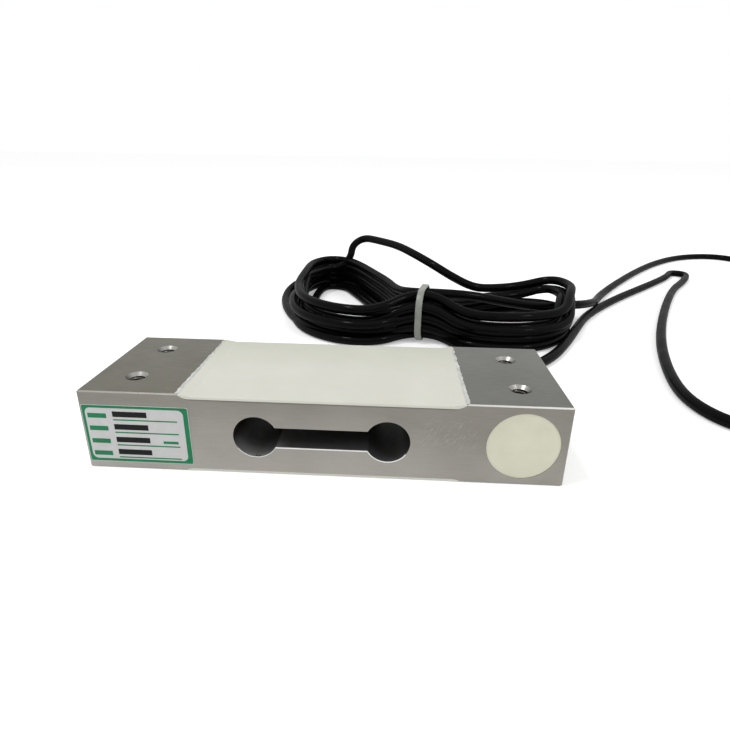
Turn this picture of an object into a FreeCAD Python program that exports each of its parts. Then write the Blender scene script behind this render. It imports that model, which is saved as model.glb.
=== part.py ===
"""Single point load cell: a binocular bending beam with mounting pads, bonded strain gauges under
sealant, a potted junction pocket and a tied hank of signal cable.

Millimetres. X runs along the beam, Y from the labelled front face (-Y) to the cable side (+Y), Z up.
The origin is the centre of the footprint, on the surface that the lower pads rest on.
"""
import FreeCAD, Part
import math
import os

V = FreeCAD.Vector
X_AXIS = V(1, 0, 0)
Y_AXIS = V(0, 1, 0)
Z_AXIS = V(0, 0, 1)

# ---------------------------------------------------------------- driving dimensions
# beam
BEAM_LENGTH = 150.0
BEAM_WIDTH = 50.0
BEAM_HEIGHT = 27.0
PAD_LENGTH = 31.0
TOP_RELIEF = 1.6
BOTTOM_RELIEF = 1.0
RELIEF_RADIUS = 6.0
EDGE_BREAK = 0.4
# binocular cut-out
BORE_SPACING = 40.8
BORE_DIAMETER = 14.0
SLOT_HEIGHT = 6.9
# four tapped holes through the pads
HOLE_END_INSET = 13.5
HOLE_SPACING_Y = 25.0
TAP_DIAMETER = 5.0
TAP_RIM_DIAMETER = 7.2
# junction pocket in the front face and the drillings that lead to it
POCKET_DIAMETER = 22.3
POCKET_DEPTH = 8.0
CABLE_BORE_CLEARANCE = 0.3
CABLE_BORE_WALL = 0.6
GALLERY_DIAMETER = 2.6
GALLERY_FRONT_INSET = 4.5
GALLERY_MOUTH_INSET = 0.4
# strain gauges, terminal strips and their wires
GAUGE_LENGTH = 11.0
GAUGE_WIDTH = 7.0
CARRIER_THICKNESS = 0.1
GRID_THICKNESS = 0.05
GRID_MARGIN = 1.5
TAB_SIZE = 1.0
TAB_SPACING = 3.6
JUMPER_DIAMETER = 0.24
STRIP_LENGTH = 8.0
STRIP_WIDTH = 8.0
LEAD_DIAMETER = 0.45
LEAD_PITCH = 0.55
LEAD_COUNT = 4
LEAD_BEND = 0.8
LEAD_INTO_POCKET = 2.2
GALLERY_MARGIN = 0.5
# sealant over the gauges
TOP_SEALANT_THICKNESS = 0.9
BOTTOM_SEALANT_THICKNESS = 0.6
SEALANT_END_GAP = 0.4
SEALANT_LIP = 0.25
SEALANT_EDGE_RADIUS = 0.3
SEALANT_CLEARANCE = 0.05
# junction board, its resistors, the cable cores and the potting
BOARD_THICKNESS = 1.0
BOARD_CLEARANCE = 0.3
CORE_HOLE_DIAMETER = 4.6
RESISTOR_LENGTH = 3.2
RESISTOR_WIDTH = 1.6
RESISTOR_HEIGHT = 0.6
RESISTOR_PITCH = 3.0
RESISTOR_CAP = 0.5
CORE_DIAMETER = 1.2
CORE_PITCH = 1.5
CORE_REACH = 5.2
CORE_RISE = 2.4
CORE_BEND = 1.0
CORE_GAP = 0.1
POTTING_RECESS = 0.15
# rating label
LABEL_LENGTH = 33.5
LABEL_HEIGHT = 20.0
LABEL_THICKNESS = 0.15
LABEL_END_MARGIN = 0.7
LABEL_BASE_MARGIN = 2.5
LABEL_CORNER = 0.6
# cable, its seal and its tie
CABLE_DIAMETER = 5.0
SEAL_BASE_DIAMETER = 11.0
SEAL_LENGTH = 5.0
SEAL_LIP = 0.7
TIE_CENTRE_X = 37.0
TIE_CENTRE_Y = 117.0
TIE_SKEW = 12.0
TIE_WIDTH = 3.4
TIE_THICKNESS = 1.1
BUNDLE_WIDTH = 27.0
BUNDLE_HEIGHT = 27.0
BUNDLE_CORNER = 9.5
TIE_HEAD_LENGTH = 6.5
TIE_HEAD_WIDTH = 5.6
TIE_HEAD_HEIGHT = 4.6
TIE_TAIL = 3.0
TIE_HEAD_CLEARANCE = 0.3
HANK_FILLET = 8.0
HANK_BASE_FILLET = 3.0
OUTER_TURN_HEIGHT = 8.0
# bare ends of the cable's cores
BARE_CORE_LENGTH = 22.0
BARE_TIP_LENGTH = 5.0
BARE_TIP_DIAMETER = 0.7
BARE_FAN_STEP = 3.4
BARE_CORE_BEND = 2.5
CORE_SPREAD = 1.125

# ---------------------------------------------------------------- places worked out from them
HALF_LENGTH = BEAM_LENGTH / 2
HALF_WIDTH = BEAM_WIDTH / 2
FRONT = -HALF_WIDTH
PAD_INNER = HALF_LENGTH - PAD_LENGTH
TOP_FLOOR = BEAM_HEIGHT - TOP_RELIEF
BOTTOM_FLOOR = BOTTOM_RELIEF
BORE_X = BORE_SPACING / 2
BORE_Z = (TOP_FLOOR + BOTTOM_FLOOR) / 2
HOLE_X = HALF_LENGTH - HOLE_END_INSET
HOLE_Y = HOLE_SPACING_Y / 2
POCKET_X = HOLE_X
POCKET_Z = BEAM_HEIGHT / 2
POCKET_FLOOR = FRONT + POCKET_DEPTH
CABLE_BORE_DIAMETER = CABLE_DIAMETER + 2 * CABLE_BORE_CLEARANCE
CABLE_X = POCKET_X - POCKET_DIAMETER / 2 + CABLE_BORE_WALL + CABLE_BORE_DIAMETER / 2
CABLE_Z = POCKET_Z
GALLERY_Y = FRONT + GALLERY_FRONT_INSET
CABLE_ON_FLOOR = CABLE_DIAMETER / 2
BOARD_FRONT = POCKET_FLOOR - BOARD_THICKNESS

# ---------------------------------------------------------------- cable routes, as laid by hand
def on_floor(places):
    """Points of the cable's centreline where it lies on the floor."""
    return [V(x, y, CABLE_ON_FLOOR) for x, y in places]


# from inside the cable bore, past the hank, round the open loop on the floor and back to the hank
LEAD_EXIT = [V(CABLE_X, 20.0, CABLE_Z), V(CABLE_X, 41.0, CABLE_Z), V(68.0, 54.0, 7.0)]
LEAD_ON_FLOOR = [
    (85, 66), (100, 82), (113, 104), (126, 130), (138, 153), (153, 174), (177, 203), (202, 230),
    (223, 253), (237, 269), (245.5, 280.5), (250.5, 289), (257.5, 289.2), (261, 283), (256.5, 273.5),
    (246, 257), (225, 229), (192, 169), (165, 113), (148, 66), (142, 36), (149, 15), (170, 8),
    (189, 22), (206, 57), (236, 112), (262, 171), (292, 226), (319, 276), (340, 325), (347, 356),
    (329, 375), (294, 365), (258, 333), (222, 289), (189, 243), (166, 208),
]
LEAD_OVER_ITSELF = [V(153.0, 183.0, 4.5), V(142.0, 163.0, 9.0), V(131.0, 149.0, 11.5), V(115.0, 142.0, 13.0)]
LEAD_ROUTE = LEAD_EXIT + on_floor(LEAD_ON_FLOOR) + LEAD_OVER_ITSELF
# from the hank to the bare end behind the beam
TAIL_ROUTE = on_floor([
    (45, 109), (54, 98), (57, 83), (49, 68), (33, 56), (13, 48), (-8, 44.5), (-25, 44),
])
# outline of the tied hank seen from above, and the eyes left open in its two lobes
HANK_OUTLINE = [
    V(37, 103), V(58, 93), V(78, 88), V(94, 90), V(104, 99), V(110, 112), V(115, 126), V(122, 142),
    V(122, 158), V(110, 167), V(87, 166), V(66, 156), V(51, 143), V(37, 131), V(31, 153), V(21, 186),
    V(6, 215), V(-10, 223), V(-27, 219), V(-41, 198), V(-40, 160), V(-30, 124), V(-9, 101), V(14, 96),
]
LEFT_EYE = [
    V(-23, 160), V(-23, 184), V(-16, 201), V(-5, 202), V(4, 184), V(13, 156), V(19, 133), V(8, 118),
    V(-6, 119), V(-17, 133),
]
RIGHT_EYE = [
    V(61, 120), V(72, 108), V(88, 107), V(98, 116), V(105, 132), V(108, 146), V(96, 150), V(80, 147),
    V(67, 135),
]
OUTER_TURN = [
    V(-14, 101), V(-29, 108), V(-45, 134), V(-57, 166), V(-61, 195), V(-50, 217), V(-30, 224),
    V(-14, 205), V(-22, 150),
]


# ---------------------------------------------------------------- general helpers
def save(shape, node):
    """Write one node's solid or solids to its own file."""
    if not shape.isValid():
        raise ValueError("invalid solid: " + node)
    shape.exportStep("parts/" + node + ".step")
    print(node, "solids", len(shape.Solids), "volume %.1f" % shape.Volume)


def box(x0, x1, y0, y1, z0, z1):
    """Box between two corners."""
    return Part.makeBox(x1 - x0, y1 - y0, z1 - z0, V(x0, y0, z0))


def rod(start, end, diameter):
    """Plain round bar from one point to another."""
    along = end - start
    return Part.makeCylinder(diameter / 2, along.Length, start, along)


def across_y(diameter, x, z, y0, y1):
    """Round bar along Y at a given place in the side view."""
    return Part.makeCylinder(diameter / 2, y1 - y0, V(x, y0, z), Y_AXIS)


def extrude_profile(edges, direction):
    """Solid from a closed flat chain of edges."""
    return Part.Face(Part.Wire(edges)).extrude(direction)


def line(a, b):
    return Part.LineSegment(a, b).toShape()


def arc(a, middle, b):
    return Part.Arc(a, middle, b).toShape()


def rounded_path(points, radius_at):
    """Straight runs between the points, joined by tangent arcs of the radius that radius_at gives."""
    edges = []
    radii = []
    start = points[0]
    for i in range(1, len(points) - 1):
        before = points[i] - points[i - 1]
        after = points[i + 1] - points[i]
        turn = before.getAngle(after)
        radius = radius_at(before.Length, after.Length, turn)
        back = radius * math.tan(turn / 2)
        before.normalize()
        after.normalize()
        inward = after - before
        inward.normalize()
        a = points[i] - before * back
        b = points[i] + after * back
        middle = points[i] + inward * (radius / math.cos(turn / 2) - radius)
        edges.append(line(start, a))
        edges.append(arc(a, middle, b))
        radii.append(radius)
        start = b
    edges.append(line(start, points[-1]))
    return Part.Wire(edges), radii


def swept_rod(path, diameter):
    """Round bar along a path, checked against its section times its length."""
    first = path.Edges[0]
    start = first.valueAt(first.FirstParameter)
    heading = first.tangentAt(first.FirstParameter)
    ring = Part.Wire(Part.makeCircle(diameter / 2, start, heading))
    solid = path.makePipeShell([ring], True, False)
    wanted = math.pi * diameter ** 2 / 4 * path.Length
    if abs(solid.Volume / wanted - 1) > 0.01:
        raise ValueError("sweep lost volume: %.1f of %.1f" % (solid.Volume, wanted))
    return solid


def wire_along(points, diameter, bend):
    """Thin wire with the same small bend at each corner."""
    path, _ = rounded_path(points, lambda before, after, turn: bend)
    return swept_rod(path, diameter)


def cable_along(points, name):
    """Cable with arcs as large as its runs allow."""
    share = 0.45
    path, radii = rounded_path(
        points, lambda before, after, turn: share * min(before, after) / math.tan(turn / 2)
    )
    print(name, "length %.0f" % path.Length, "radii", " ".join("%.0f" % r for r in radii))
    return swept_rod(path, CABLE_DIAMETER)


def smooth_outline(points, height):
    """Upright block whose closed outline passes smoothly through a few points."""
    curve = Part.BSplineCurve()
    curve.interpolate(Points=points, PeriodicFlag=True)
    return Part.Face(Part.Wire([curve.toShape()])).extrude(V(0, 0, height))


def mirrored_pair(make):
    """The same thing on the +X and the -X side, as (name, shape) pairs."""
    return [("left", make(-1)), ("right", make(1))]


# ---------------------------------------------------------------- beam
def relief_run(relief):
    """How far a relief's end radius reaches before it meets the pad."""
    return math.sqrt(2 * RELIEF_RADIUS * relief - relief ** 2)


def relief_profile(relief, sign, pad_z):
    """Edges of one relief from the -X pad to the +X pad; sign is +1 on top and -1 underneath."""
    run = relief_run(relief)
    floor = pad_z - sign * relief
    centre_z = floor + sign * RELIEF_RADIUS
    half_angle = math.asin(run / RELIEF_RADIUS) / 2
    edges = []
    for side in (-1, 1):
        centre = V(side * (PAD_INNER - run), FRONT, centre_z)
        middle = centre + V(
            side * RELIEF_RADIUS * math.sin(half_angle), 0, -sign * RELIEF_RADIUS * math.cos(half_angle)
        )
        pad_end = V(side * PAD_INNER, FRONT, pad_z)
        floor_end = V(side * (PAD_INNER - run), FRONT, floor)
        edges.append(arc(pad_end, middle, floor_end))
    edges.append(line(V(-PAD_INNER + run, FRONT, floor), V(PAD_INNER - run, FRONT, floor)))
    return edges


def beam_blank():
    """Side profile with both reliefs, drawn along Y, with the block's outer edges broken."""
    edges = relief_profile(TOP_RELIEF, 1, BEAM_HEIGHT) + relief_profile(BOTTOM_RELIEF, -1, 0.0)
    for side in (-1, 1):
        corner = V(side * HALF_LENGTH, FRONT, 0)
        upper = corner + V(0, 0, BEAM_HEIGHT)
        edges.append(line(V(side * PAD_INNER, FRONT, BEAM_HEIGHT), upper))
        edges.append(line(upper, corner))
        edges.append(line(corner, V(side * PAD_INNER, FRONT, 0)))
    profile = extrude_profile(Part.__sortEdges__(edges), V(0, BEAM_WIDTH, 0))
    block = box(-HALF_LENGTH, HALF_LENGTH, FRONT, HALF_WIDTH, 0, BEAM_HEIGHT)
    return profile.common(block.makeChamfer(EDGE_BREAK, block.Edges))


def binocular_cutout():
    """Two bores across the beam, joined by a slot."""
    reach = 1.0
    y0 = FRONT - reach
    y1 = HALF_WIDTH + reach
    bores = [across_y(BORE_DIAMETER, side * BORE_X, BORE_Z, y0, y1) for side in (-1, 1)]
    slot = box(-BORE_X, BORE_X, y0, y1, BORE_Z - SLOT_HEIGHT / 2, BORE_Z + SLOT_HEIGHT / 2)
    return bores[0].fuse([bores[1], slot])


def tapped_holes():
    """Four through holes with a countersunk rim at both mouths."""
    depth = (TAP_RIM_DIAMETER - TAP_DIAMETER) / 2
    cuts = []
    for x in (-HOLE_X, HOLE_X):
        for y in (-HOLE_Y, HOLE_Y):
            cuts.append(rod(V(x, y, -1), V(x, y, BEAM_HEIGHT + 1), TAP_DIAMETER))
            rim = TAP_RIM_DIAMETER / 2
            bore = TAP_DIAMETER / 2
            cuts.append(Part.makeCone(bore, rim, depth, V(x, y, BEAM_HEIGHT - depth), Z_AXIS))
            cuts.append(Part.makeCone(rim, bore, depth, V(x, y, 0), Z_AXIS))
    return cuts


def gallery_line():
    """Mouth on the upper relief floor and heading of the wire gallery, which aims at the pocket."""
    mouth_x = PAD_INNER - relief_run(TOP_RELIEF) - GALLERY_MOUTH_INSET
    mouth = V(mouth_x, GALLERY_Y, TOP_FLOOR)
    heading = V(POCKET_X, GALLERY_Y, POCKET_Z) - mouth
    length = heading.Length
    heading.normalize()
    return mouth, heading, length


def gallery_drilling():
    """Slanting hole from the upper relief floor into the pocket."""
    mouth, heading, length = gallery_line()
    overrun = 3.0
    inside = length - POCKET_DIAMETER / 2 + 1.0
    return rod(mouth - heading * overrun, mouth + heading * inside, GALLERY_DIAMETER)


def junction_pocket():
    return across_y(POCKET_DIAMETER, POCKET_X, POCKET_Z, FRONT - 1, POCKET_FLOOR)


def make_beam():
    cuts = [binocular_cutout(), junction_pocket()]
    cuts.append(across_y(CABLE_BORE_DIAMETER, CABLE_X, CABLE_Z, POCKET_FLOOR - 1, HALF_WIDTH + 1))
    cuts.append(gallery_drilling())
    cuts.append(lower(gallery_drilling()))
    cuts.extend(tapped_holes())
    return beam_blank().cut(cuts)


# ---------------------------------------------------------------- gauges, strips and wires
# These are built on the upper relief floor; lower() turns them over to the underside.
def lower(shape):
    """Mirror a thing from the upper relief floor to the lower one."""
    flipped = shape.mirror(V(0, 0, (TOP_FLOOR + BOTTOM_FLOOR) / 2), Z_AXIS)
    return flipped


def make_gauge(side):
    """Foil gauge centred over a bore: carrier, grid and two solder tabs on the end near the strip."""
    x = side * BORE_X
    z = TOP_FLOOR
    carrier = box(x - GAUGE_LENGTH / 2, x + GAUGE_LENGTH / 2, -GAUGE_WIDTH / 2, GAUGE_WIDTH / 2, z,
                  z + CARRIER_THICKNESS)
    grid_length = GAUGE_LENGTH / 2 - GRID_MARGIN
    grid = box(x - grid_length + side * TAB_SIZE, x + grid_length + side * TAB_SIZE,
               -GAUGE_WIDTH / 2 + GRID_MARGIN, GAUGE_WIDTH / 2 - GRID_MARGIN, z,
               z + CARRIER_THICKNESS + GRID_THICKNESS)
    pieces = [grid]
    inner = x - side * GAUGE_LENGTH / 2
    for y in (-TAB_SPACING / 2, TAB_SPACING / 2):
        ends = sorted([inner, inner + side * TAB_SIZE])
        pieces.append(box(ends[0], ends[1], y - TAB_SIZE / 2, y + TAB_SIZE / 2, z, z + JUMPER_DIAMETER))
    return carrier.fuse(pieces).removeSplitter()


def make_strip():
    """Solder terminal strip in the middle of the relief, with four raised pads."""
    z = TOP_FLOOR
    base = box(-STRIP_LENGTH / 2, STRIP_LENGTH / 2, -STRIP_WIDTH / 2, STRIP_WIDTH / 2, z,
               z + LEAD_DIAMETER)
    grooves = []
    pitch = STRIP_LENGTH / LEAD_COUNT
    for i in range(1, LEAD_COUNT):
        x = -STRIP_LENGTH / 2 + i * pitch
        half = SEALANT_CLEARANCE * 2
        grooves.append(box(x - half, x + half, -STRIP_WIDTH / 2, STRIP_WIDTH / 2,
                           z + LEAD_DIAMETER / 2, z + LEAD_DIAMETER))
    return base.cut(grooves)


def make_jumpers():
    """Four fine wires from the gauges' tabs to the ends of the strip."""
    z = TOP_FLOOR + JUMPER_DIAMETER / 2
    wires = []
    for side in (-1, 1):
        tab = side * (BORE_X - GAUGE_LENGTH / 2)
        for y in (-TAB_SPACING / 2, TAB_SPACING / 2):
            wires.append(rod(V(side * STRIP_LENGTH / 2, y, z), V(tab, y, z), JUMPER_DIAMETER))
    return Part.makeCompound(wires)


def lead_offset(i):
    """Place of lead i across the flat ribbon of leads."""
    return (i - (LEAD_COUNT - 1) / 2) * LEAD_PITCH


def make_leads():
    """Ribbon of leads from the strip, along the relief floor, down the gallery to the board."""
    mouth, heading, length = gallery_line()
    z = TOP_FLOOR + LEAD_DIAMETER / 2
    wires = []
    pitch = STRIP_LENGTH / LEAD_COUNT
    for i in range(LEAD_COUNT):
        x = -STRIP_LENGTH / 2 + (i + 0.5) * pitch
        y = GALLERY_Y + lead_offset(i)
        turn_x = mouth.x - LEAD_DIAMETER / 2 / math.tan(heading.getAngle(X_AXIS))
        over_mouth = V(turn_x, y, z)
        in_pocket = over_mouth + heading * (length - POCKET_DIAMETER / 2 + LEAD_INTO_POCKET)
        end = V(in_pocket.x, BOARD_FRONT, in_pocket.z)
        route = [V(x, -STRIP_WIDTH / 2, z), V(x, y, z), over_mouth, in_pocket, end]
        wires.append(wire_along(route, LEAD_DIAMETER, LEAD_BEND))
    return Part.makeCompound(wires)


def wire_pockets():
    """Room in the sealant for the strip, gauges, jumpers and leads, on the upper relief floor."""
    c = SEALANT_CLEARANCE
    z0 = TOP_FLOOR - 1
    lead_top = TOP_FLOOR + LEAD_DIAMETER + c
    jumper_top = TOP_FLOOR + JUMPER_DIAMETER + c
    gauge_outer = BORE_X + GAUGE_LENGTH / 2
    ribbon = (LEAD_COUNT * LEAD_PITCH) / 2 + c
    strip_half = STRIP_LENGTH / 2 + c
    gallery_x = PAD_INNER - relief_run(TOP_RELIEF)
    return [
        box(-gauge_outer, gauge_outer, -GAUGE_WIDTH / 2, GAUGE_WIDTH / 2, z0, jumper_top),
        box(-strip_half, strip_half, GALLERY_Y, STRIP_WIDTH / 2 + c, z0, lead_top),
        box(-strip_half, gallery_x + GALLERY_MARGIN, GALLERY_Y - ribbon, GALLERY_Y + ribbon, z0, lead_top),
    ]


def make_sealant(relief, thickness):
    """Coat over one relief, drawn as for the upper side: it follows the radius up to the pad's edge."""
    run = relief_run(relief)
    floor = TOP_FLOOR
    end_x = PAD_INNER - SEALANT_END_GAP
    climb = end_x - (PAD_INNER - run)
    end_z = floor + RELIEF_RADIUS - math.sqrt(RELIEF_RADIUS ** 2 - climb ** 2)
    half_angle = math.asin(climb / RELIEF_RADIUS) / 2
    top = floor + thickness
    edges = []
    for side in (-1, 1):
        centre = V(side * (PAD_INNER - run), FRONT, floor + RELIEF_RADIUS)
        middle = centre + V(side * RELIEF_RADIUS * math.sin(half_angle), 0,
                            -RELIEF_RADIUS * math.cos(half_angle))
        foot = V(side * (PAD_INNER - run), FRONT, floor)
        edges.append(arc(foot, middle, V(side * end_x, FRONT, end_z)))
        edges.append(line(V(side * end_x, FRONT, end_z), V(side * end_x, FRONT, end_z + SEALANT_LIP)))
        lip = V(side * end_x, FRONT, end_z + SEALANT_LIP)
        edges.append(line(lip, V(side * (PAD_INNER - run), FRONT, top)))
    edges.append(line(V(-PAD_INNER + run, FRONT, floor), V(PAD_INNER - run, FRONT, floor)))
    edges.append(line(V(-PAD_INNER + run, FRONT, top), V(PAD_INNER - run, FRONT, top)))
    coat = extrude_profile(Part.__sortEdges__(edges), V(0, BEAM_WIDTH, 0))
    long_edges = [e for e in coat.Edges if is_upper_long_edge(e, top)]
    coat = coat.makeFillet(SEALANT_EDGE_RADIUS, long_edges)
    return coat.cut(wire_pockets())


def is_upper_long_edge(edge, z):
    """True for the two long edges of a coat's outer face."""
    a = edge.Vertexes[0].Point
    b = edge.Vertexes[-1].Point
    flat = abs(a.z - z) < 1e-6 and abs(b.z - z) < 1e-6
    return flat and abs(a.y - b.y) < 1e-6 and abs(a.x - b.x) > 1


# ---------------------------------------------------------------- junction pocket's contents
def make_board():
    """Round board on the pocket's floor, with a hole where the cable's cores come through."""
    diameter = POCKET_DIAMETER - 2 * BOARD_CLEARANCE
    disc = across_y(diameter, POCKET_X, POCKET_Z, BOARD_FRONT, POCKET_FLOOR)
    return disc.cut(across_y(CORE_HOLE_DIAMETER, CABLE_X, CABLE_Z, BOARD_FRONT - 1, POCKET_FLOOR + 1))


def make_resistor(i):
    """Chip resistor number i in the column right of the cores: a body with raised end caps."""
    x0 = POCKET_X + RESISTOR_WIDTH
    z = POCKET_Z + (i - 1) * RESISTOR_PITCH
    x1 = x0 + RESISTOR_LENGTH
    y = BOARD_FRONT
    inset = RESISTOR_CAP / 5
    body = box(x0 + inset, x1 - inset, y - RESISTOR_HEIGHT + inset, y,
               z - RESISTOR_WIDTH / 2 + inset, z + RESISTOR_WIDTH / 2 - inset)
    caps = []
    for start in (x0, x1 - RESISTOR_CAP):
        caps.append(box(start, start + RESISTOR_CAP, y - RESISTOR_HEIGHT, y,
                        z - RESISTOR_WIDTH / 2, z + RESISTOR_WIDTH / 2))
    return body.fuse(caps).removeSplitter()


def make_core(i):
    """Cable core i: straight out of the jacket, through the board, over and down to its pad."""
    column = i % 2
    row = i // 2
    x = CABLE_X + (column - 0.5) * CORE_PITCH
    z = CABLE_Z + (row - 0.5) * CORE_PITCH
    jacket_end = LEAD_ROUTE[0].y
    top_y = BOARD_FRONT - CORE_RISE - (1 - column) * (CORE_DIAMETER + CORE_GAP)
    spread = (row - 0.5) * (1 + 2 * column)
    over = V(CORE_REACH - column * CORE_PITCH, 0, spread * CORE_PITCH)
    crest = V(x, top_y, z)
    landing = crest + over
    route = [V(x, jacket_end, z), crest, landing, V(landing.x, BOARD_FRONT, landing.z)]
    return wire_along(route, CORE_DIAMETER, CORE_BEND)


def make_potting(buried):
    """Compound that fills the pocket in front of the board, round everything that stands on it."""
    fill = across_y(POCKET_DIAMETER, POCKET_X, POCKET_Z, FRONT + POTTING_RECESS, BOARD_FRONT)
    return fill.cut(buried)


# ---------------------------------------------------------------- label, seal, tie, hank and bare end
def make_label():
    """Thin plate on the front face."""
    x0 = -HALF_LENGTH + LABEL_END_MARGIN
    z0 = LABEL_BASE_MARGIN
    plate = box(x0, x0 + LABEL_LENGTH, FRONT - LABEL_THICKNESS, FRONT, z0, z0 + LABEL_HEIGHT)
    upright = [e for e in plate.Edges if abs(e.Length - LABEL_THICKNESS) < 1e-6]
    return plate.makeFillet(LABEL_CORNER, upright)


def make_seal():
    """Bead of sealant round the cable where it leaves the back face, with a hollow flank."""
    r_in = CABLE_DIAMETER / 2
    r_base = SEAL_BASE_DIAMETER / 2
    r_lip = r_in + SEAL_LIP
    y0 = HALF_WIDTH
    y1 = HALF_WIDTH + SEAL_LENGTH
    middle = V(CABLE_X + (r_base + 3 * r_lip) / 4, y0 + SEAL_LENGTH * 0.35, CABLE_Z)
    a = V(CABLE_X + r_base, y0, CABLE_Z)
    b = V(CABLE_X + r_lip, y1, CABLE_Z)
    edges = [
        line(V(CABLE_X + r_in, y0, CABLE_Z), a),
        arc(a, middle, b),
        line(b, V(CABLE_X + r_in, y1, CABLE_Z)),
        line(V(CABLE_X + r_in, y1, CABLE_Z), V(CABLE_X + r_in, y0, CABLE_Z)),
    ]
    section = Part.Face(Part.Wire(edges))
    return section.revolve(V(CABLE_X, y0, CABLE_Z), Y_AXIS, 360)


def bundle_block(grow, width):
    """Rounded block across the hank where the tie squeezes it, grown outwards by grow."""
    w = BUNDLE_WIDTH + 2 * grow
    h = BUNDLE_HEIGHT + 2 * grow
    x0 = TIE_CENTRE_X - width / 2
    z0 = TIE_THICKNESS - grow
    block = Part.makeBox(width, w, h, V(x0, TIE_CENTRE_Y - w / 2, z0))
    along_x = [e for e in block.Edges if abs(e.Length - width) < 1e-6]
    return block.makeFillet(BUNDLE_CORNER + grow, along_x)


def skewed(shape):
    """Turn the tie, or the groove it sits in, a little askew of the hank."""
    return shape.rotated(V(TIE_CENTRE_X, TIE_CENTRE_Y, 0), Z_AXIS, -TIE_SKEW)


def tie_head(grow):
    """Ratchet head behind the hank, halfway up the band, grown on all sides by grow."""
    back = TIE_CENTRE_Y + BUNDLE_WIDTH / 2
    z_mid = TIE_THICKNESS + BUNDLE_HEIGHT / 2
    half_width = TIE_HEAD_WIDTH / 2 + grow
    half_length = TIE_HEAD_LENGTH / 2 + grow
    return box(TIE_CENTRE_X - half_width, TIE_CENTRE_X + half_width, back + TIE_THICKNESS / 2 - grow,
               back + TIE_HEAD_HEIGHT + grow, z_mid - half_length, z_mid + half_length)


def make_tie():
    """Nylon band round the hank, with its ratchet head and cut tail at the back."""
    band = bundle_block(TIE_THICKNESS, TIE_WIDTH).cut(bundle_block(0, TIE_WIDTH + 2))
    back = TIE_CENTRE_Y + BUNDLE_WIDTH / 2
    z_mid = TIE_THICKNESS + BUNDLE_HEIGHT / 2
    head = tie_head(0)
    head = head.makeFillet(TIE_THICKNESS / 2, head.Edges)
    tail = box(TIE_CENTRE_X - TIE_WIDTH / 2, TIE_CENTRE_X + TIE_WIDTH / 2,
               back + TIE_THICKNESS, back + TIE_THICKNESS * 2,
               z_mid, z_mid + TIE_HEAD_LENGTH / 2 + TIE_TAIL)
    return skewed(band.fuse([head, tail]).removeSplitter())


def make_hank():
    """Outer shape of the tied turns: two lobes with open eyes and a waist squeezed by the tie."""
    height = BUNDLE_HEIGHT + TIE_THICKNESS
    body = smooth_outline(HANK_OUTLINE, height)
    body = body.makeFillet(HANK_FILLET, rim_edges(body, height))
    body = body.makeFillet(HANK_BASE_FILLET, rim_edges(body, 0))
    outer = smooth_outline(OUTER_TURN, OUTER_TURN_HEIGHT)
    eyes = [smooth_outline(eye, height + 2).translated(V(0, 0, -1)) for eye in (LEFT_EYE, RIGHT_EYE)]
    reach = BUNDLE_WIDTH
    x0 = TIE_CENTRE_X - TIE_WIDTH / 2
    band = box(x0, x0 + TIE_WIDTH, TIE_CENTRE_Y - reach, TIE_CENTRE_Y + reach, -1, 2 * height)
    squeeze = band.cut(bundle_block(0, TIE_WIDTH + 2))
    seat = skewed(squeeze.fuse(tie_head(TIE_HEAD_CLEARANCE)))
    return body.fuse(outer).cut(eyes + [seat])


def rim_edges(solid, z):
    """Edges of a solid that lie in one level plane."""
    return [e for e in solid.Edges if abs(e.BoundBox.ZMin - z) < 1e-4 and abs(e.BoundBox.ZMax - z) < 1e-4]


def make_bare_core(i):
    """Insulated core beyond the jacket's end, fanned out on the floor, with its bare tinned tip."""
    end = TAIL_ROUTE[-1]
    heading = end - TAIL_ROUTE[-2]
    heading.normalize()
    side = V(-heading.y, heading.x, 0)
    rank = i - 1.5
    start = V(end.x, end.y, CORE_DIAMETER / 2 + (i % 2) * CORE_PITCH) + side * (rank * CORE_SPREAD)
    third = BARE_CORE_LENGTH / 3
    p1 = start + heading * third
    p2 = p1 + heading * third + side * (rank * BARE_FAN_STEP / 2)
    p2.z = CORE_DIAMETER / 2
    p3 = p2 + heading * third + side * (rank * BARE_FAN_STEP)
    core = wire_along([start, p1, p2, p3], CORE_DIAMETER, BARE_CORE_BEND)
    last = p3 - p2
    last.normalize()
    tip = rod(p3, p3 + last * BARE_TIP_LENGTH, BARE_TIP_DIAMETER)
    return core, tip


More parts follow.
